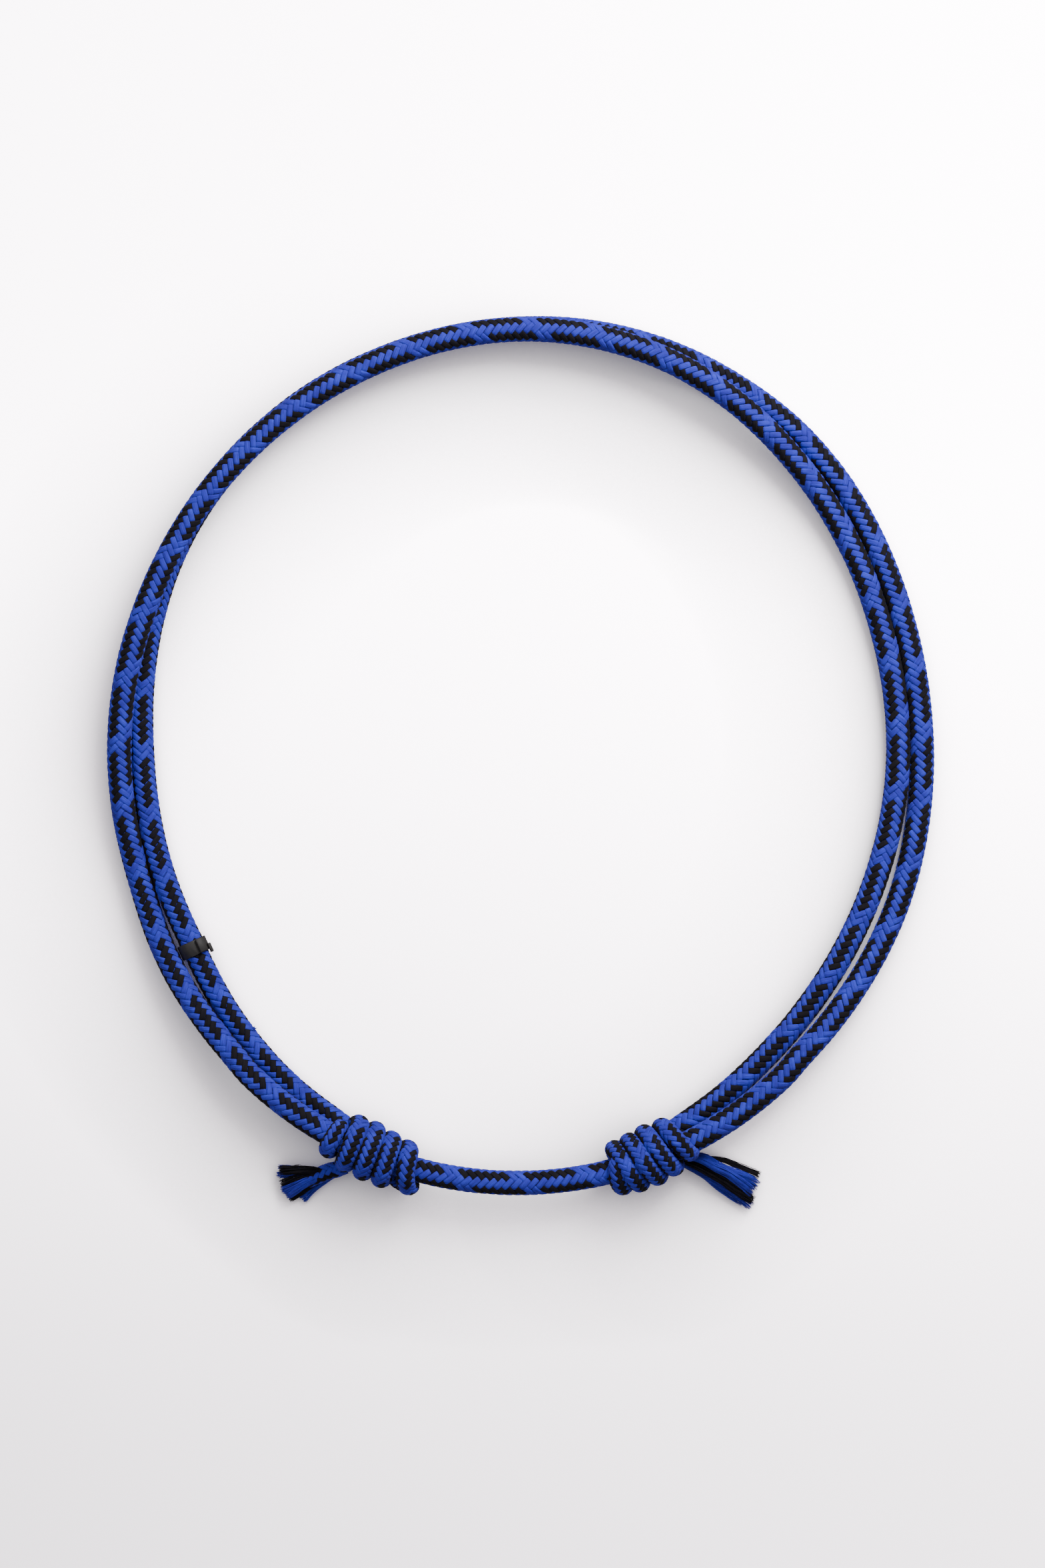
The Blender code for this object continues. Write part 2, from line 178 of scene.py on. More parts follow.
class Builder:
    """Collects closed tubes of quads, with a UV map and a material for each."""

    def __init__(self):
        self.v, self.f, self.uv, self.m, self.n = [], [], [], [], 0

    def tube(self, rings, material=0, across=None, v_scale=100.0, v_start=0.0, cap=True):
        """rings: (sections, around, 3), closed at both ends, faces outward. across: the UV u of each vertex of a ring."""
        first = rings[0] - rings[0].mean(0)
        turn = np.cross(first, np.roll(first, -1, 0)).sum(0)
        u = np.linspace(0, 1, rings.shape[1], endpoint=False) if across is None else np.asarray(across, float)
        if np.dot(turn, rings[1].mean(0) - rings[0].mean(0)) < 0:
            rings, u = rings[:, ::-1], u[::-1]
        k, m = rings.shape[0], rings.shape[1]
        base = self.n
        self.v.append(rings.reshape(-1, 3))
        i = np.arange(k - 1)[:, None] * m
        j = np.arange(m)[None, :]
        a = base + i + j
        b = base + i + (j + 1) % m
        quads = np.stack([a, b, b + m, a + m], -1).reshape(-1, 4)
        run = v_start + np.concatenate([[0], np.cumsum(np.linalg.norm(np.diff(rings.mean(1), axis=0), axis=1))]) * v_scale
        u0 = np.broadcast_to(u[None, :], (k - 1, m))
        u1 = np.broadcast_to(np.roll(u, -1)[None, :], (k - 1, m)) if across is not None else u0 + 1.0 / m
        v0 = np.broadcast_to(run[:-1, None], (k - 1, m))
        v1 = np.broadcast_to(run[1:, None], (k - 1, m))
        uv = np.stack([np.stack([u0, v0], -1), np.stack([u1, v0], -1), np.stack([u1, v1], -1), np.stack([u0, v1], -1)], 2)
        self.f.append(quads)
        self.uv.append(uv.reshape(-1, 2))
        self.m.append(np.full(len(quads), material, np.int32))
        self.n += k * m
        if cap:
            for ring, flip in ((0, True), (k - 1, False)):
                # a fan of quads and triangles closes each end; a centre vertex keeps it tidy
                centre = rings[ring].mean(0)
                self.v.append(centre[None])
                c = self.n
                self.n += 1
                ids = base + ring * m + np.arange(m)
                nxt = base + ring * m + (np.arange(m) + 1) % m
                tri = np.stack([nxt, ids, np.full(m, c), np.full(m, -1)], -1) if flip else np.stack([ids, nxt, np.full(m, c), np.full(m, -1)], -1)
                self.f.append(tri)
                self.uv.append(np.tile(np.array([[0.5, run[ring]]]), (3 * m, 1)))
                self.m.append(np.full(m, material, np.int32))

    def object(self, name, materials, smooth=True):
        verts = np.concatenate(self.v).astype(np.float32)
        faces = np.concatenate(self.f)
        sizes = np.where(faces[:, 3] < 0, 3, 4).astype(np.int32)
        loops = faces.ravel()
        loops = loops[loops >= 0].astype(np.int32)
        starts = np.concatenate([[0], np.cumsum(sizes)[:-1]]).astype(np.int32)
        mesh = bpy.data.meshes.new(name)
        mesh.vertices.add(len(verts))
        mesh.vertices.foreach_set("co", verts.ravel())
        mesh.loops.add(len(loops))
        mesh.loops.foreach_set("vertex_index", loops)
        mesh.polygons.add(len(sizes))
        mesh.polygons.foreach_set("loop_start", starts)
        mesh.polygons.foreach_set("loop_total", sizes)
        mesh.polygons.foreach_set("material_index", np.concatenate(self.m))
        layer = mesh.uv_layers.new(name="yarn")
        layer.data.foreach_set("uv", np.concatenate(self.uv).astype(np.float32).ravel())
        mesh.update(calc_edges=True)
        mesh.validate()
        if smooth:
            mesh.shade_smooth()
        for mat in materials:
            mesh.materials.append(mat)
        obj = bpy.data.objects.new(name, mesh)
        SCENE.collection.objects.link(obj)
        return obj


# a yarn's section, edge to edge over its crowned top and back under it: (across, height)
SECTION = np.array([(-1.0, 0.10), (-0.88, 0.60), (-0.45, 0.94), (0.06, 1.0), (0.52, 0.90), (0.90, 0.54), (1.0, 0.05),
                    (0.52, -0.80), (-0.52, -0.80)])
ACROSS = np.array([0.0, 0.10, 0.30, 0.55, 0.76, 0.94, 1.0, 1.3, 1.7])
# sections along one full over-and-under cycle of a carrier (4 crossings), and how high the yarn stands at each
STOPS = np.array([-1.03, -0.86, -0.52, 0.08, 0.60, 0.90, 1.04, 1.24, 2.0, 2.76])
RISE = np.array([0.10, 0.70, 0.97, 1.0, 0.94, 0.62, 0.02, -0.92, -1.0, -0.92])


def as_function(value):
    return value if callable(value) else (lambda s: np.full_like(s, float(value)))


def braid(build, path, s0, s1, lay, half_n, half_b, phase, lift=None, lays=None, first_turn=0.0,
          crown=0.082):
    """Sixteen carriers plaited two over and two under along a path, eight each way.

    A crossing is a cell of the lattice (a, b): carrier k of the first way runs along a = k, carrier m of the second
    along b = m, and the angle and the distance along the rope follow from them. half_n and half_b are the rope's half
    sizes along N and B, phase the angle of a column of the first way from N towards B. lays counts turns of the plait
    along the path where it isn't even. A piece takes whole floats, so that the next piece's interlock with its own."""
    half_n, half_b, phase = as_function(half_n), as_function(half_b), as_function(phase)
    grid = np.linspace(0, path.length, 3000)
    turns = grid / lay + first_turn if lays is None else lays(grid)
    q0, q1 = np.interp((s0, s1), grid, turns)
    for family in (0, 1):
        for k in range(8):
            chance = np.random.default_rng([77, family, k]).normal(0, 1, (1300, 4)).clip(-2, 2)
            centre = 0.5 - k if family == 0 else 2.5 - k
            n = np.arange(-600, 600)
            mid = centre + 4.0 * n
            q_mid = (mid - k) / 16 if family == 0 else (k - mid) / 16
            n = n[(q_mid >= q0) & (q_mid < q1)]
            if not len(n):
                continue
            along = (centre + n[:, None] * 4 + STOPS[None]).ravel()
            rise = np.tile(RISE, len(n))
            each = np.repeat(chance[n + 640], len(STOPS), 0)
            along = along + 0.035 * each[:, 0]
            # close the first and the last float where they lie hidden
            along = np.concatenate([[centre + n[0] * 4 - 2.0, centre + n[0] * 4 - 1.24], along[:-1]])
            rise = np.concatenate([[-1.0, -0.92], rise[:-1]])
            each = np.concatenate([each[:1], each[:1], each[:-1]])
            wide = 0.487 * np.where(rise > 0.5, 1.0, np.where(rise > -0.5, 0.95, 0.80)) * (1 + 0.02 * each[:, 1])
            across = k + wide[:, None] * SECTION[None, :, 0] + 0.02 * each[:, 2:3]
            run = np.broadcast_to(along[:, None], across.shape)
            q = (run - across) / 16 if family == 0 else (across - run) / 16
            theta = 2 * math.pi * (across + run - 0.5) / 16
            flat = np.interp(q, turns, grid).ravel()
            P, T, N, B = (v.reshape(*q.shape, 3) for v in path.at(flat))
            theta = theta + phase(flat).reshape(q.shape)
            a, b = half_n(flat).reshape(q.shape), half_b(flat).reshape(q.shape)
            level = 0.846 + 0.074 * rise[:, None] + (crown + 0.004 * each[:, 3:4]) * SECTION[None, :, 1]
            rings = P + (a * level * np.cos(theta))[..., None] * N + (b * level * np.sin(theta))[..., None] * B
            if lift is not None:
                rings = lift(rings)
            black = family == 0 and k < 6
            build.tube(rings, material=1 if black else 0, across=ACROSS, v_start=5.0 * (chance[k, 0] + 10))


def liner(build, path, s0, s1, half_n, half_b, share=0.72, sides=10, step=0.004, material=2, lift=None):
    """The filler inside the plait, in material 2, whose near-black is painted shade for the gaps between the picks."""
    half_n, half_b = as_function(half_n), as_function(half_b)
    n = max(2, int(round((s1 - s0) / step)))
    s = np.linspace(s0, s1, n + 1)
    P, T, N, B = path.at(s)
    a = np.linspace(0, 2 * math.pi, sides, endpoint=False)
    rings = (P[:, None, :] + (half_n(s) * share)[:, None, None] * np.cos(a)[None, :, None] * N[:, None, :]
             + (half_b(s) * share)[:, None, None] * np.sin(a)[None, :, None] * B[:, None, :])
    if lift is not None:
        rings = lift(rings)
    build.tube(rings, material=material)


def ground(rings, lowest=0.00015, soft=0.0012):
    """Yarn that meets the ground flattens against it."""
    z = rings[..., 2]
    d = (z - lowest) / soft
    rings = rings.copy()
    rings[..., 2] = np.where(d < 3, lowest + soft * np.log1p(np.exp(np.clip(2 * d, -30, 30))) / 2.0, z)
    return rings


# --------------------------------------------------------------------- materials


def nodes_of(mat):
    mat.use_nodes = True
    tree = mat.node_tree
    return tree, tree.nodes["Principled BSDF"]


def yarn_material(name, dark, mid, light, roughness=0.82, sheen=0.25, depth=0.00025):
    """Soft spun filament yarn: fine lengthwise filaments from the yarn UVs, and slow shade changes."""
    mat = bpy.data.materials.new(name)
    tree, shader = nodes_of(mat)
    n, l = tree.nodes, tree.links
    uv = n.new("ShaderNodeUVMap"); uv.uv_map = "yarn"
    split = n.new("ShaderNodeSeparateXYZ"); l.new(uv.outputs["UV"], split.inputs["Vector"])
    # filaments drift a little from side to side as they run along
    drift = n.new("ShaderNodeTexNoise"); drift.inputs["Scale"].default_value = 1.7; drift.inputs["Detail"].default_value = 2.0
    l.new(uv.outputs["UV"], drift.inputs["Vector"])
    wander = n.new("ShaderNodeMath"); wander.operation = "MULTIPLY_ADD"; wander.inputs[1].default_value = 0.30
    l.new(drift.outputs["Fac"], wander.inputs[0]); l.new(split.outputs["X"], wander.inputs[2])
    across = n.new("ShaderNodeMath"); across.operation = "MULTIPLY"; across.inputs[1].default_value = 8.5
    l.new(wander.outputs[0], across.inputs[0])
    along = n.new("ShaderNodeMath"); along.operation = "MULTIPLY"; along.inputs[1].default_value = 0.9
    l.new(split.outputs["Y"], along.inputs[0])
    strand = n.new("ShaderNodeCombineXYZ"); l.new(across.outputs[0], strand.inputs["X"]); l.new(along.outputs[0], strand.inputs["Y"])
    streak = n.new("ShaderNodeTexNoise"); streak.inputs["Scale"].default_value = 1.0; streak.inputs["Detail"].default_value = 2.5
    streak.inputs["Roughness"].default_value = 0.6; l.new(strand.outputs[0], streak.inputs["Vector"])
    half = n.new("ShaderNodeMapRange")
    for key, value in (("From Min", 0.30), ("From Max", 0.70)):
        half.inputs[key].default_value = value
    l.new(streak.outputs["Fac"], half.inputs["Value"])
    place = n.new("ShaderNodeTexCoord")
    slow = n.new("ShaderNodeTexNoise"); slow.inputs["Scale"].default_value = 140.0; slow.inputs["Detail"].default_value = 3.0
    l.new(place.outputs["Object"], slow.inputs["Vector"])
    fuzz = n.new("ShaderNodeTexNoise"); fuzz.inputs["Scale"].default_value = 5200.0; fuzz.inputs["Detail"].default_value = 2.0
    l.new(place.outputs["Object"], fuzz.inputs["Vector"])
    blend1 = n.new("ShaderNodeMath"); blend1.operation = "MULTIPLY_ADD"; blend1.inputs[1].default_value = 0.34
    l.new(half.outputs[0], blend1.inputs[0])
    s2 = n.new("ShaderNodeMath"); s2.operation = "MULTIPLY"; s2.inputs[1].default_value = 0.60
    l.new(slow.outputs["Fac"], s2.inputs[0]); l.new(s2.outputs[0], blend1.inputs[2])
    add = n.new("ShaderNodeMath"); add.operation = "MULTIPLY_ADD"; add.inputs[1].default_value = 0.26
    l.new(fuzz.outputs["Fac"], add.inputs[0]); l.new(blend1.outputs[0], add.inputs[2])
    ramp = n.new("ShaderNodeValToRGB")
    ramp.color_ramp.elements[0].position = 0.18; ramp.color_ramp.elements[0].color = (*dark, 1)
    ramp.color_ramp.elements[1].position = 0.92; ramp.color_ramp.elements[1].color = (*light, 1)
    middle = ramp.color_ramp.elements.new(0.55); middle.color = (*mid, 1)
    l.new(add.outputs[0], ramp.inputs["Fac"])
    l.new(ramp.outputs["Color"], shader.inputs["Base Color"])
    bump = n.new("ShaderNodeBump"); bump.inputs["Strength"].default_value = 0.7; bump.inputs["Distance"].default_value = depth
    l.new(add.outputs[0], bump.inputs["Height"]); l.new(bump.outputs["Normal"], shader.inputs["Normal"])
    shader.inputs["Roughness"].default_value = roughness
    shader.inputs["Specular IOR Level"].default_value = 0.12
    shader.inputs["Sheen Weight"].default_value = sheen
    shader.inputs["Sheen Roughness"].default_value = 0.5
    return mat


BLUE = yarn_material("blue_yarn", (0.013, 0.012, 0.140), (0.023, 0.025, 0.325), (0.044, 0.062, 0.640), sheen=0.03)
BLACK = yarn_material("black_yarn", (0.0024, 0.0020, 0.0036), (0.0050, 0.0042, 0.0070), (0.0120, 0.0100, 0.0150), sheen=0.02)
# the filler's near-black is painted shade: it shows only where the gaps between the picks let the core through
FILLER_GAP_SHADE = yarn_material("filler_painted_gap_shade", (0.003, 0.004, 0.030), (0.005, 0.007, 0.050), (0.007, 0.010, 0.080), sheen=0.0)


def plastic_material(name):
    mat = bpy.data.materials.new(name)
    tree, shader = nodes_of(mat)
    n, l = tree.nodes, tree.links
    place = n.new("ShaderNodeTexCoord")
    grain = n.new("ShaderNodeTexNoise"); grain.inputs["Scale"].default_value = 2600.0; grain.inputs["Detail"].default_value = 4.0
    l.new(place.outputs["Object"], grain.inputs["Vector"])
    cloud = n.new("ShaderNodeTexNoise"); cloud.inputs["Scale"].default_value = 220.0; cloud.inputs["Detail"].default_value = 2.0
    l.new(place.outputs["Object"], cloud.inputs["Vector"])
    ramp = n.new("ShaderNodeValToRGB")
    ramp.color_ramp.elements[0].position = 0.3; ramp.color_ramp.elements[0].color = (0.0070, 0.0060, 0.0058, 1)
    ramp.color_ramp.elements[1].position = 0.75; ramp.color_ramp.elements[1].color = (0.0135, 0.0115, 0.0110, 1)
    l.new(cloud.outputs["Fac"], ramp.inputs["Fac"]); l.new(ramp.outputs["Color"], shader.inputs["Base Color"])
    rough = n.new("ShaderNodeMapRange"); rough.inputs["To Min"].default_value = 0.58; rough.inputs["To Max"].default_value = 0.78
    l.new(grain.outputs["Fac"], rough.inputs["Value"]); l.new(rough.outputs["Result"], shader.inputs["Roughness"])
    bump = n.new("ShaderNodeBump"); bump.inputs["Strength"].default_value = 0.35; bump.inputs["Distance"].default_value = 0.00006
    l.new(grain.outputs["Fac"], bump.inputs["Height"]); l.new(bump.outputs["Normal"], shader.inputs["Normal"])
    return mat


PLASTIC = plastic_material("tag_plastic_black")

# ------------------------------------------------------------------ the camera
PX = 0.012 / 35.0
H = 1.75
cam_data = bpy.data.cameras.new("camera")
cam_data.sensor_fit = "VERTICAL"
cam_data.sensor_height = 36.0
cam_data.lens = 36.0 * H / (2352 * PX)
cam = bpy.data.objects.new("camera", cam_data)
cam.location = (RING_C[0] + 1.0 * PX, RING_C[1] - 46.0 * PX, 0.006 + H)
SCENE.collection.objects.link(cam)
SCENE.camera = cam

# ------------------------------------------------- the rope's whole centreline
p_under, b_under = route(UNDER_ROUTE, 203.5, 498.93)
p_arc, d_arc = arc(-46.0, 46.0)
p_over, b_over = route(OVER_ROUTE, 222.04, 519.5)
whole = np.concatenate([p_under, p_arc[1:-1], p_over])
whole[:, 2] += 0.00045
ROPE = Path(whole, smooth=0.0045)


def s_of(index):
    """Distance along the smoothed rope of a raw centreline point."""
    return float(np.interp(np.interp(index, np.arange(len(whole)), ROPE.raw), ROPE.q, ROPE.s))


def s_under(bearing):
    return s_of(np.interp(bearing, b_under, np.arange(len(b_under))))


def s_arc(deg):
    return s_of(len(b_under) - 1 + np.interp(deg, d_arc, np.arange(len(d_arc))))


def s_over(bearing):
    return s_of(len(b_under) + len(d_arc) - 2 + np.interp(bearing, b_over, np.arange(len(b_over))))


# the plait's columns roll slowly round the rope along its length: outward tilt of one column, degrees
ROLL = [(s_under(b), a) for b, a in ((203.5, -16), (270, -16), (300, -8), (330, 5), (360, 18), (400, 28), (498, 30))]
ROLL += [(s_arc(d), a) for d, a in ((-20, 38), (0, 45), (12, 52), (30, 62), (44, 70))]
ROLL += [(s_over(b), a) for b, a in ((230, 75), (236, 79), (242, 86), (250, 93), (260, 108), (270, 118), (285, 119), (300, 134), (360, 135),
                                     (372, 139), (420, 142), (440, 152), (465, 154), (475, 166), (490, 176), (500, 182), (512, 192))]
ROLL = np.array(ROLL)
# and its pattern runs ahead of an even lay here and there, mm
AHEAD = [(s_under(b), a) for b, a in ((210, -3.3), (235, -2.9), (253, -3.4), (271, -4.8), (281, -5.5), (377, -11.9), (386, -12.6),
                                      (394, -14.5), (403, -15.1), (411, -15.3), (420, -16.4), (438, -15.9), (457, -14.6),
                                      (475, -14.3), (485, -12.6), (494, -12.1))]
AHEAD += [(s_over(b), a) for b, a in ((209, -2.3), (235, -2.0), (247, -0.5), (255, -0.4), (276, -0.7), (300, -0.6), (312, -0.9), (324, -1.7),
                                      (336, -2.2), (348, -2.8), (360, -3.4), (372, -4.0), (384, -4.5), (396, -4.8), (408, -4.9),
                                      (420, -4.6), (432, -4.0), (444, -3.7), (456, -3.0), (468, -2.7), (477, -2.2), (487, -1.2),
                                      (497, -0.8), (506, 0.1))]
AHEAD = np.array(AHEAD)


def roll(s):
    return -np.radians(np.interp(s, ROLL[:, 0], ROLL[:, 1]))


def pattern(s):
    return (s - np.interp(s, AHEAD[:, 0], AHEAD[:, 1]) / 1000) / LAY


R_SHOW = 0.00635


def cord_piece(name, s0, s1):
    build = Builder()
    braid(build, ROPE, s0, s1, LAY, R_SHOW, R_SHOW, roll, lift=ground, lays=pattern)
    liner(build, ROPE, s0, s1, R_SHOW, R_SHOW, lift=ground)
    obj = build.object(name, [BLUE, BLACK, FILLER_GAP_SHADE])
    n = max(8, int(round((s1 - s0) / 0.004)))
    pts = ROPE.at(np.linspace(s0, s1, n + 1))[0]
    return obj, pts


S_LEFT_FREE = s_under(234.0)
S_RIGHT_FREE = s_over(484.0)
ends = [0.0, S_LEFT_FREE, s_under(322.0), s_under(410.0), s_arc(-45.0), s_arc(45.0), s_over(312.0), s_over(400.0), S_RIGHT_FREE, ROPE.length]
names = ["left_standing_rope", "under_strand_left", "under_strand_top", "under_strand_right", "bridge_rope", "over_strand_left",
         "over_strand_top", "over_strand_right", "right_standing_rope"]
cords = {}
for name, a, b in zip(names, ends[:-1], ends[1:]):
    cords[name] = cord_piece(name, a, b) + (b - a,)

for name in names[1:-1]:
    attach(cords[name][0], "rope")
blend_left = (ROPE.at(np.array([S_LEFT_FREE]))[0][0], ROPE.at(np.array([s_under(209.0)]))[0][0])
blend_right = (ROPE.at(np.array([S_RIGHT_FREE]))[0][0], ROPE.at(np.array([s_over(514.0)]))[0][0])
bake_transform(cords["left_standing_rope"][0])
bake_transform(cords["right_standing_rope"][0])

for name in names[1:-1]:
    strand = name.rsplit("_", 1)[0] if name != "bridge_rope" else "bridge_strand"
    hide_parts(strand + "_sheath", strand + "_core")
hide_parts("left_standing_end")
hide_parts("right_standing_end")

for name in names:
    obj, pts, length = cords[name]

# ------------------------------------------------------------------------ knots
# knot coordinates, mm: s from the knot's middle away from the bridge, x outward from the ring, z up
KNOTS = {
    "left_knot": dict(
        deg=LEFT_KNOT_DEG, sign=1,
        lead=((-9.0, 4.6, -9.0), (-14.0, 8.2, -10.2), (-18.8, 9.7, -10.0), (-22.2, 9.6, -7.8), (-23.6, 9.2, -3.8), (-22.7, 9.6, 0.6)),
        # turn, s; a whole turn is out, up, in, down
        turns=((0.07, -21.3), (0.25, -19.2), (0.5, -17.6), (0.75, -12.9), (1.0, -9.0), (1.25, -8.3), (1.5, -7.6), (1.75, -3.3), (2.0, 0.6),
               (2.25, 1.6), (2.5, 2.4), (2.75, 6.6), (3.0, 10.2), (3.25, 11.0), (3.5, 12.0), (3.75, 16.8), (4.0, 20.6), (4.25, 21.3),
               (4.45, 20.4)),
        way=1, start=0.0, phase=21.0,
        crest=((-24, 12.2), (-15, 14.4), (-5, 15.2), (4, 15.8), (13, 15.2), (19, 13.8), (24, 12.4)),
        shift=((-24, 0.4), (-15, 0.1), (-5, -0.4), (4, -1.3), (13, -1.1), (22, -1.5)),
        sink=(4.1, 4.45)),
    "right_knot": dict(
        deg=RIGHT_KNOT_DEG, sign=-1,
        lead=((-13.0, -6.0, 2.0), (-16.8, -5.6, 6.4), (-18.9, -1.2, 8.2), (-19.4, 4.6, 6.6), (-18.4, 8.6, 2.2), (-17.2, 9.0, -3.6),
              (-16.6, 5.6, -8.6), (-16.7, -1.2, -10.6), (-17.1, -7.2, -8.6), (-17.3, -10.6, -3.6)),
        turns=((0.0, -17.2), (0.25, -13.4), (0.5, -9.4), (0.75, -8.9), (1.0, -8.4), (1.25, -4.4), (1.5, 0.2), (1.75, 0.5), (2.0, 0.9),
               (2.25, 5.0), (2.5, 9.2), (2.75, 10.0), (3.0, 11.2), (3.25, 16.0), (3.5, 19.8), (3.7, 19.6)),
        way=-1, start=180.0, phase=-21.0,
        crest=((-24, 11.5), (-17, 13.0), (-8, 16.0), (1, 16.2), (10, 15.4), (17, 14.2), (23, 12.4)),
        shift=((-24, -1.0), (-17, -1.2), (-8, -0.8), (1, -2.0), (10, -2.6), (20, -3.0)),
        sink=(3.35, 3.7)),
}


def knot_frame(spec, s, x, z):
    """Knot coordinates in metres to world ones."""
    a = np.radians(spec["deg"] + spec["sign"] * np.degrees(s / ARC_R))
    r = ARC_R + x
    return np.stack([ARC_C[0] - r * np.sin(a), ARC_C[1] - r * np.cos(a), KNOT_Z + z], -1)


def knot_rope(which):
    """The standing rope out of the knot's inner end, back on itself, and round the strand and itself again and again."""
    spec = KNOTS[which]
    crest, shift = np.array(spec["crest"], float), np.array(spec["shift"], float)
    turns = np.array(spec["turns"], float)
    t = np.arange(turns[0, 0], turns[-1, 0], 0.01)
    s = catmull(turns, 1, t)
    half = np.full_like(t, 4.45)
    half = half - 0.7 * np.clip((t - spec["sink"][0]) / 0.4, 0, 1)
    rho = np.interp(s, crest[:, 0], crest[:, 1]) - half
    down = np.clip((t - spec["sink"][0]) / (spec["sink"][1] - spec["sink"][0]), 0, 1)
    rho = rho - 4.2 * down**1.5
    psi = np.radians(spec["start"]) + spec["way"] * 2 * math.pi * t
    x = np.interp(s, shift[:, 0], shift[:, 1]) + rho * np.cos(psi)
    z = rho * np.sin(psi)
    lead = spline(spec["lead"] + ((s[0], x[0], z[0]),), 90)[:-4]
    s, x, z = (np.concatenate([lead[:, i], v]) / 1000 for i, v in enumerate((s, x, z)))
    pts = knot_frame(spec, s, x, z)
    heart = np.interp(s * 1000, shift[:, 0], shift[:, 1]) / 1000
    axis = knot_frame(spec, s * 0.92, heart, np.zeros_like(s))
    path = Path(pts, up=pts - axis, smooth=0.0012)
    lower = np.interp(path.q / path.length, (0, 0.06, 0.92, 1.0), (3.2, 4.45, 4.45, 3.6)) / 1000
    wide = np.interp(path.q / path.length, (0, 0.06, 0.92, 1.0), (3.6, 4.9, 4.9, 4.2)) / 1000
    hn = lambda q: np.interp(q, path.s, lower)
    hb = lambda q: np.interp(q, path.s, wide)
    build = Builder()
    braid(build, path, 0.0, path.length, 0.0224, hn, hb, math.radians(spec["phase"]), lift=ground, crown=0.105)
    liner(build, path, 0.0, path.length, hn, hb, lift=ground, sides=12, step=0.0025)
    obj = build.object(which + "_turns", [BLUE, BLACK, FILLER_GAP_SHADE])
    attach(obj, which)
    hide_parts(which + "_wraps")
    return obj


# ------------------------------------------------------------- tails and frays


def spline(points, n):
    """A smooth line through a few points."""
    pts = np.asarray(points, float)
    x = np.concatenate([[0], np.cumsum(np.linalg.norm(np.diff(pts, axis=0), axis=1))])
    st = np.column_stack([x, pts])
    q = np.linspace(0, x[-1], n)
    return np.stack([catmull(st, i, q) for i in range(1, pts.shape[1] + 1)], 1)


def flat_point(u, v, z):
    """mm right of and below the ring's middle, and mm above the ground."""
    return np.array([RING_C[0] + u / 1000, RING_C[1] - v / 1000, z / 1000])


def fibre_tube(P, radius, sides=5):
    T = unit(np.gradient(P, axis=0))
    U = np.broadcast_to(np.array([0.0, 0.0, 1.0]), P.shape)
    N = unit(U - (U * T).sum(1, keepdims=True) * T)
    B = np.cross(T, N)
    a = np.linspace(0, 2 * math.pi, sides, endpoint=False)
    return P[:, None, :] + radius[:, None, None] * (np.cos(a)[None, :, None] * N[:, None, :] + np.sin(a)[None, :, None] * B[:, None, :])


def bundle(build, points, colour, count, wide, high, ragged=0.06, twist=0.8, radius=0.15):
    """Loose yarn: fibres side by side along a line of points (mm), wide and high giving the bundle's half sizes at
    its start and its end."""
    n = 17
    line = spline([flat_point(*p) for p in points], 60)
    path = Path(line, smooth=0.0008)
    turn0 = rng.uniform(0, 2 * math.pi)
    for _ in range(count):
        r, w = math.sqrt(rng.uniform()), rng.uniform(0, 2 * math.pi)
        end = path.length * (1.0 - ragged * rng.uniform() ** 2 * 2.0 + 0.02 * rng.normal())
        s = np.linspace(0, min(end, path.length), n)
        t = s / path.length
        P, T, N, B = path.at(s)
        angle = w + twist * t
        out = np.clip(t / 0.22, 0, 1)
        su = r * np.cos(angle) * (wide[0] + (wide[1] - wide[0]) * t**1.2) / 1000 * (0.25 + 0.75 * out)
        sv = r * np.sin(angle) * (high[0] + (high[1] - high[0]) * t**1.2) / 1000 * (0.25 + 0.75 * out) - 0.0026 * (1 - out) ** 2
        stray = 0.00022 * t[None, :] ** 2 * rng.normal(0, 1, (2, 1))
        wave = 0.00010 * np.sin(s * rng.uniform(300, 700) + turn0 + rng.uniform(0, 2))
        pts = P + (su + stray[0] + wave)[:, None] * B + (sv + stray[1])[:, None] * N
        pts[:, 2] = np.maximum(pts[:, 2], 0.00030 + 0.0002 * rng.uniform())
        thick = radius * rng.uniform(0.8, 1.15) / 1000 * (1.0 - 0.35 * np.clip((t - 0.9) * 10, 0, 1))
        build.tube(fibre_tube(pts, thick), material=colour, v_start=rng.uniform(0, 20))


knot_rope("left_knot")
knot_rope("right_knot")

# the left tail: still plaited for a finger's width, then frayed
LEFT_TAIL = ((-90.5, 211.8, 8.2), (-94.5, 213.6, 6.6), (-100.0, 215.2, 6.2), (-106.0, 218.0, 6.0), (-110.5, 220.4, 5.6))
line = spline([flat_point(*p) for p in LEFT_TAIL], 80)
path = Path(line, smooth=0.001)
build = Builder()
half = lambda q: np.interp(q, (0, 0.55 * path.length, path.length), (0.0042, 0.0044, 0.0036))
braid(build, path, 0.0, path.length, 0.0300, half, half, math.radians(-38.0), first_turn=0.17, lift=ground)
liner(build, path, 0.0, path.length - 0.001, half, half, lift=ground)
stub = build.object("left_tail_plait", [BLUE, BLACK, FILLER_GAP_SHADE])
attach(stub, "left_knot")
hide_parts("left_tail")

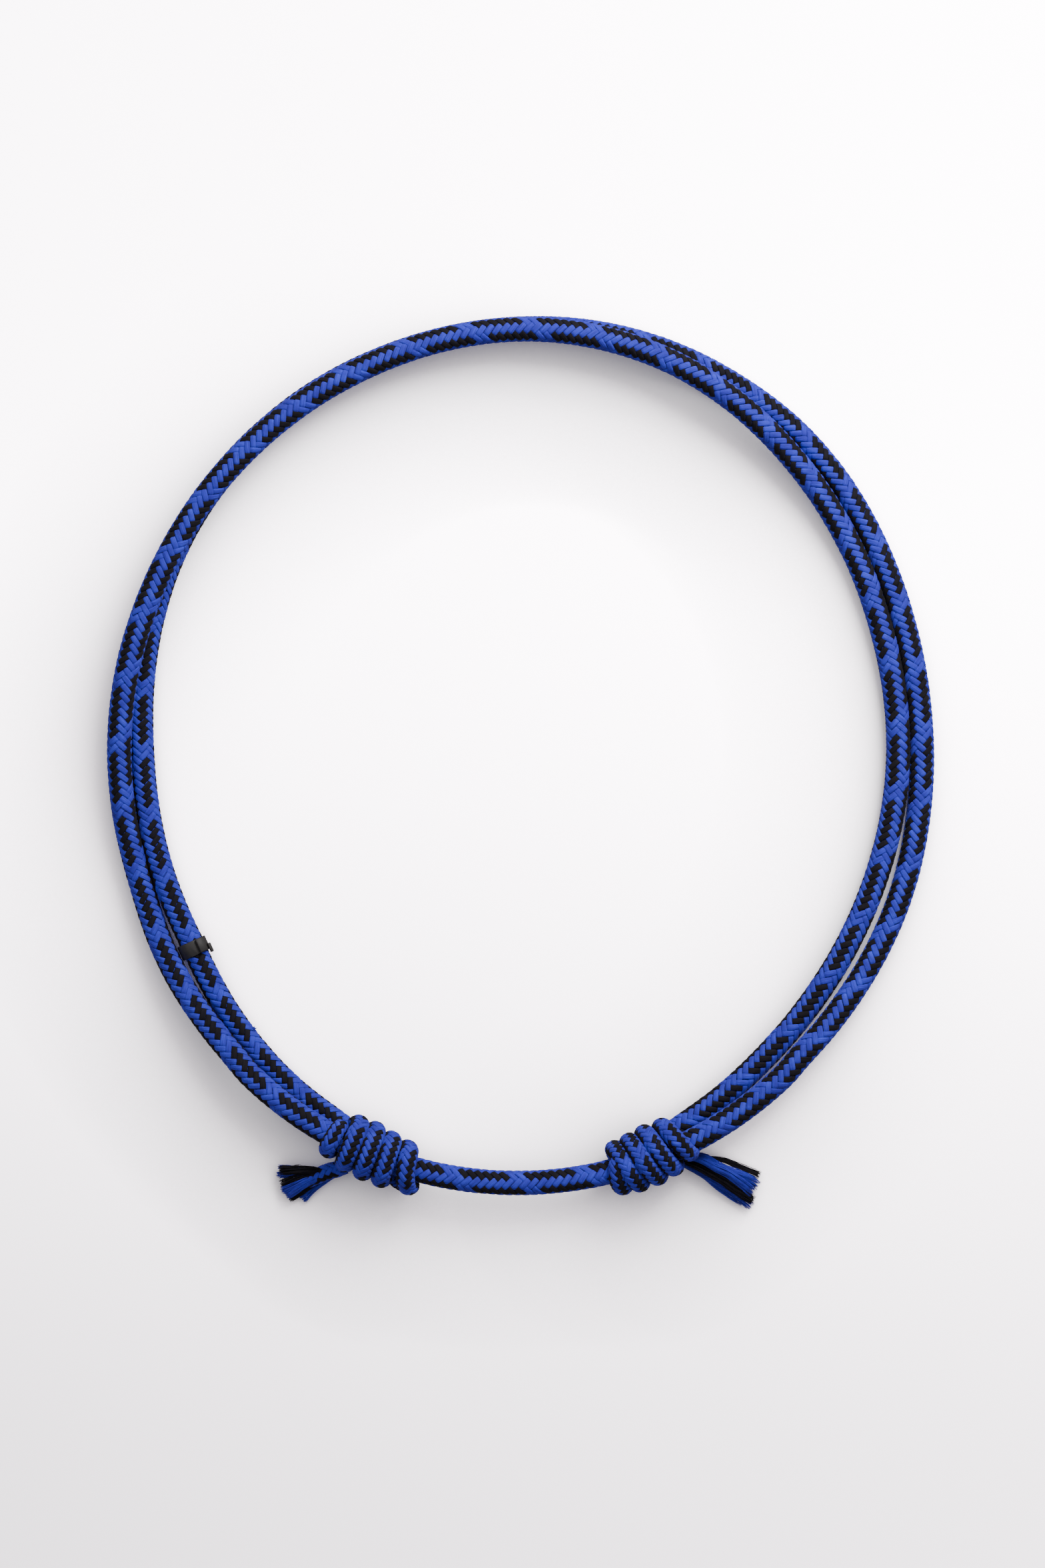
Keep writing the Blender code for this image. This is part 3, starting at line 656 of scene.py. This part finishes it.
build = Builder()
for points, colour, count, wide, high in (
        (((-101.5, 214.0, 8.8), (-107.5, 213.8, 9.0), (-115.5, 214.0, 8.0), (-125.0, 214.4, 5.4)), 1, 84, (1.7, 2.5), (1.7, 1.7)),
        (((-104.5, 216.5, 7.4), (-111.0, 217.2, 6.9), (-118.0, 219.2, 5.4), (-124.4, 221.6, 3.8)), 1, 84, (2.2, 2.6), (1.8, 1.6)),
        (((-107.0, 216.0, 6.0), (-114.0, 216.4, 5.6), (-121.0, 216.8, 4.6), (-126.4, 217.0, 3.4)), 0, 46, (1.2, 2.0), (1.6, 1.2)),
        (((-109.0, 214.5, 5.6), (-116.0, 213.4, 5.4), (-121.0, 212.8, 4.6), (-125.8, 213.0, 3.4)), 0, 24, (0.9, 1.2), (1.0, 0.9)),
        (((-102.5, 217.4, 9.4), (-109.0, 220.0, 8.8), (-115.5, 223.8, 6.8), (-121.4, 227.6, 4.4)), 0, 74, (1.4, 2.5), (1.5, 1.6)),
        (((-107.5, 217.5, 9.0), (-113.5, 220.4, 7.8), (-119.0, 223.2, 5.8), (-123.8, 225.0, 3.8)), 0, 60, (1.2, 2.1), (1.4, 1.5)),
        (((-97.5, 217.6, 5.2), (-105.5, 220.6, 4.9), (-112.6, 225.0, 4.0), (-120.0, 229.8, 2.4)), 1, 76, (1.5, 1.9), (1.8, 1.4)),
        (((-97.0, 218.6, 3.8), (-103.0, 221.4, 3.6), (-108.4, 225.6, 2.8), (-113.2, 230.4, 2.0)), 0, 62, (1.3, 2.3), (1.4, 1.1)),
):
    bundle(build, points, colour, count, wide, high)
for j in range(3):
    a = np.linspace(-0.6, 2 * math.pi - 1.6 - 0.4 * j, 22)
    centre = flat_point(-116.2 + 0.9 * j, 212.4 - 0.2 * j, 8.6)
    pts = centre + np.stack([0.0010 * np.cos(a), 0.0010 * np.sin(a), 0.0005 * np.sin(a * 0.5 + j)], 1)
    build.tube(fibre_tube(pts, np.full(len(a), 0.00012)), material=1)
brush = build.object("left_tassel_fibres", [BLUE, BLACK])
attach(brush, "left_knot")
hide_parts("left_tassel")

# the right tail: unlaid all the way back to the knot
build = Builder()
for points, colour, count, wide, high in (
        (((73.5, 202.2, 9.6), (82.5, 206.8, 9.0), (88.5, 207.4, 9.6), (94.0, 209.4, 9.4), (99.5, 212.6, 8.8), (106.0, 215.8, 7.4), (112.5, 220.6, 6.0), (119.4, 226.4, 4.6)), 0, 86, (1.4, 2.9), (1.5, 1.8)),
        (((79.5, 201.0, 9.2), (88.5, 205.6, 8.6), (95.0, 207.4, 8.6), (101.0, 211.6, 7.8), (108.0, 214.6, 6.6), (115.0, 217.6, 5.2), (122.4, 222.0, 3.8)), 0, 68, (1.2, 2.5), (1.4, 1.6)),
        (((74.5, 204.4, 8.0), (83.5, 209.0, 7.4), (90.0, 211.8, 7.6), (97.0, 215.8, 7.4), (104.0, 220.0, 6.6), (111.0, 225.2, 5.4), (119.6, 230.4, 4.0)), 1, 97, (1.9, 2.6), (1.9, 1.8)),
        (((75.5, 207.2, 5.8), (84.5, 211.8, 5.2), (91.0, 215.2, 5.2), (97.5, 219.2, 5.0), (104.5, 223.2, 4.4), (111.0, 227.6, 3.6), (118.6, 233.6, 2.6)), 0, 73, (1.3, 2.5), (1.5, 1.3)),
        (((79.0, 209.8, 4.2), (88.0, 214.4, 3.6), (94.5, 218.6, 3.4), (100.5, 223.4, 3.0), (107.0, 228.0, 2.6), (113.8, 232.0, 2.0)), 0, 35, (0.7, 1.2), (1.0, 0.9)),
        (((92.0, 207.0, 5.8), (98.5, 208.4, 5.6), (105.0, 209.8, 5.0), (112.5, 213.0, 4.2), (122.8, 217.4, 3.2)), 1, 62, (1.1, 2.1), (1.2, 1.3)),
        (((76.5, 208.8, 4.2), (85.5, 213.4, 3.6), (89.5, 215.8, 3.4), (93.5, 217.8, 3.2), (97.0, 219.8, 3.0)), 1, 27, (0.8, 0.7), (1.0, 0.8)),
        (((102.0, 215.0, 4.6), (109.0, 217.8, 4.2), (115.5, 221.0, 3.4), (120.6, 223.6, 2.8)), 1, 35, (1.0, 1.6), (1.2, 1.0)),
        (((96.0, 213.0, 3.4), (104.0, 218.0, 3.2), (111.0, 223.4, 2.6), (118.6, 228.8, 1.9)), 0, 40, (1.4, 2.5), (1.4, 1.0)),
):
    bundle(build, points, colour, count, wide, high)
brush = build.object("right_tassel_fibres", [BLUE, BLACK])
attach(brush, "right_knot")
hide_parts("right_tail", "right_tassel")

# a pill of loose yarn that clings to the strand
build = Builder()
for _ in range(16):
    a = np.linspace(0, rng.uniform(3.0, 6.5), 16)
    axis_a, axis_b = unit(rng.normal(0, 1, 3)), unit(rng.normal(0, 1, 3))
    pts = flat_point(-137.6, 141.2, 8.8) + 0.0007 * rng.uniform(0.5, 1.4) * (np.cos(a)[:, None] * axis_a + np.sin(a + 0.4)[:, None] * axis_b)
    build.tube(fibre_tube(pts, np.full(len(a), 0.00013)), material=0)
pill = build.object("yarn_pill", [BLUE])
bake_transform(pill)

# -------------------------------------------------------------------- tag band
for node, facets, edges in (("tag_strap", 0.0011, 0.00015), ("tag_buckle", 0.0, 0.00035), ("tag_latch_tab", 0.0, 0.00050)):
    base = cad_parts[node]
    mesh = base.data.copy()
    mesh.materials.clear()
    mesh.materials.append(PLASTIC)
    piece = bpy.data.objects.new(node + "_moulded", mesh)
    piece.matrix_world = base.matrix_world.copy()
    SCENE.collection.objects.link(piece)
    bm = bmesh.new()
    bm.from_mesh(mesh)
    bmesh.ops.remove_doubles(bm, verts=bm.verts, dist=0.00002)
    folds = bm.edges.layers.float.new("bevel_weight_edge")
    for edge in bm.edges:
        edge[folds] = float(facets > 0 and len(edge.link_faces) == 2 and 0.2 < edge.calc_face_angle(0.0) < 1.1)
    bm.to_mesh(mesh)
    bm.free()
    if facets:
        # the strap bends in one sweep round the rope
        bend = piece.modifiers.new("bend", "BEVEL")
        bend.width, bend.segments, bend.limit_method = facets, 5, "WEIGHT"
    lip = piece.modifiers.new("lip", "BEVEL")
    lip.width, lip.segments, lip.limit_method, lip.angle_limit = edges, 3, "ANGLE", math.radians(50)
    for face in mesh.polygons:
        face.use_smooth = True
    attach(piece, "tag_band")
    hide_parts(node)

# ------------------------------------------------------------ floor and lights
floor_mesh = bpy.data.meshes.new("floor")
bm = bmesh.new()
bmesh.ops.create_grid(bm, x_segments=2, y_segments=2, size=4.0)
bm.to_mesh(floor_mesh)
bm.free()
floor = bpy.data.objects.new("floor", floor_mesh)
SCENE.collection.objects.link(floor)
floor_mat = bpy.data.materials.new("studio_floor_painted_glow")
tree, shader = nodes_of(floor_mat)
shader.inputs["Base Color"].default_value = (0.93, 0.92, 0.935, 1)
# a pale floor whose emission is painted light, seen only by the camera: it glows brighter at the back than at the front
# and brighter to the right, and a painted shadow darkens it where the object stands in the key light's way
n, l = tree.nodes, tree.links
# painted shadow: ambient occlusion round a normal tilted towards the key light, raised to the fifth power, dims the
# emission beside the rope on the side away from the light
painted_shadow_ao = n.new("ShaderNodeAmbientOcclusion"); painted_shadow_ao.samples = 12; painted_shadow_ao.inputs["Distance"].default_value = 0.085
towards = n.new("ShaderNodeCombineXYZ")
for socket, value in zip(towards.inputs, Vector((0.50, 0.62, 0.60)).normalized()):
    socket.default_value = value
l.new(towards.outputs[0], painted_shadow_ao.inputs["Normal"])
shade = n.new("ShaderNodeMath"); shade.operation = "POWER"; shade.inputs[1].default_value = 5.0
l.new(painted_shadow_ao.outputs["AO"], shade.inputs[0])
place = n.new("ShaderNodeTexCoord"); split = n.new("ShaderNodeSeparateXYZ"); l.new(place.outputs["Object"], split.inputs[0])
# painted falloff of light: the emission drops from back to front, and it grows to the right through the exponent
painted_falloff = n.new("ShaderNodeMapRange"); painted_falloff.interpolation_type = "SMOOTHSTEP"
for key, value in (("From Min", 0.14), ("From Max", -0.46), ("To Min", 2.30), ("To Max", 0.76)):
    painted_falloff.inputs[key].default_value = value
l.new(split.outputs["Y"], painted_falloff.inputs["Value"])
side = n.new("ShaderNodeMath"); side.operation = "MULTIPLY_ADD"; side.inputs[1].default_value = 0.85; side.use_clamp = False
l.new(split.outputs["X"], side.inputs[0]); l.new(painted_falloff.outputs["Result"], side.inputs[2])
painted_glow = n.new("ShaderNodeMath"); painted_glow.operation = "EXPONENT"; l.new(side.outputs[0], painted_glow.inputs[0])
both = n.new("ShaderNodeMath"); both.operation = "MULTIPLY"; l.new(painted_glow.outputs[0], both.inputs[0]); l.new(shade.outputs[0], both.inputs[1])
l.new(both.outputs[0], shader.inputs["Emission Strength"])
shader.inputs["Emission Color"].default_value = (1.0, 0.90, 0.98, 1)
# painted light only: the floor is hidden from diffuse and glossy rays, so its emission lights and mirrors nothing
floor.visible_diffuse = False
floor.visible_glossy = False
shader.inputs["Roughness"].default_value = 0.9
shader.inputs["Specular IOR Level"].default_value = 0.1
floor_mesh.materials.append(floor_mat)


def area(name, location, target, size, power, colour=(1, 1, 1)):
    data = bpy.data.lights.new(name, "AREA")
    data.shape = "DISK"
    data.size = size
    data.energy = power
    data.color = colour
    obj = bpy.data.objects.new(name, data)
    obj.location = location
    obj.rotation_euler = (Vector(target) - Vector(location)).to_track_quat("-Z", "Y").to_euler()
    SCENE.collection.objects.link(obj)


area("key", (0.50, 0.86, 0.80), (0, 0.02, 0), 0.70, 29.0, (1.0, 0.99, 0.985))
area("fill", (-1.2, 0.5, 1.9), (0, 0, 0), 2.2, 13.0, (1.0, 0.97, 1.0))
world = bpy.data.worlds.new("studio")
world.use_nodes = True
world.node_tree.nodes["Background"].inputs["Color"].default_value = (1.0, 0.965, 1.0, 1)
world.node_tree.nodes["Background"].inputs["Strength"].default_value = 0.42
SCENE.world = world
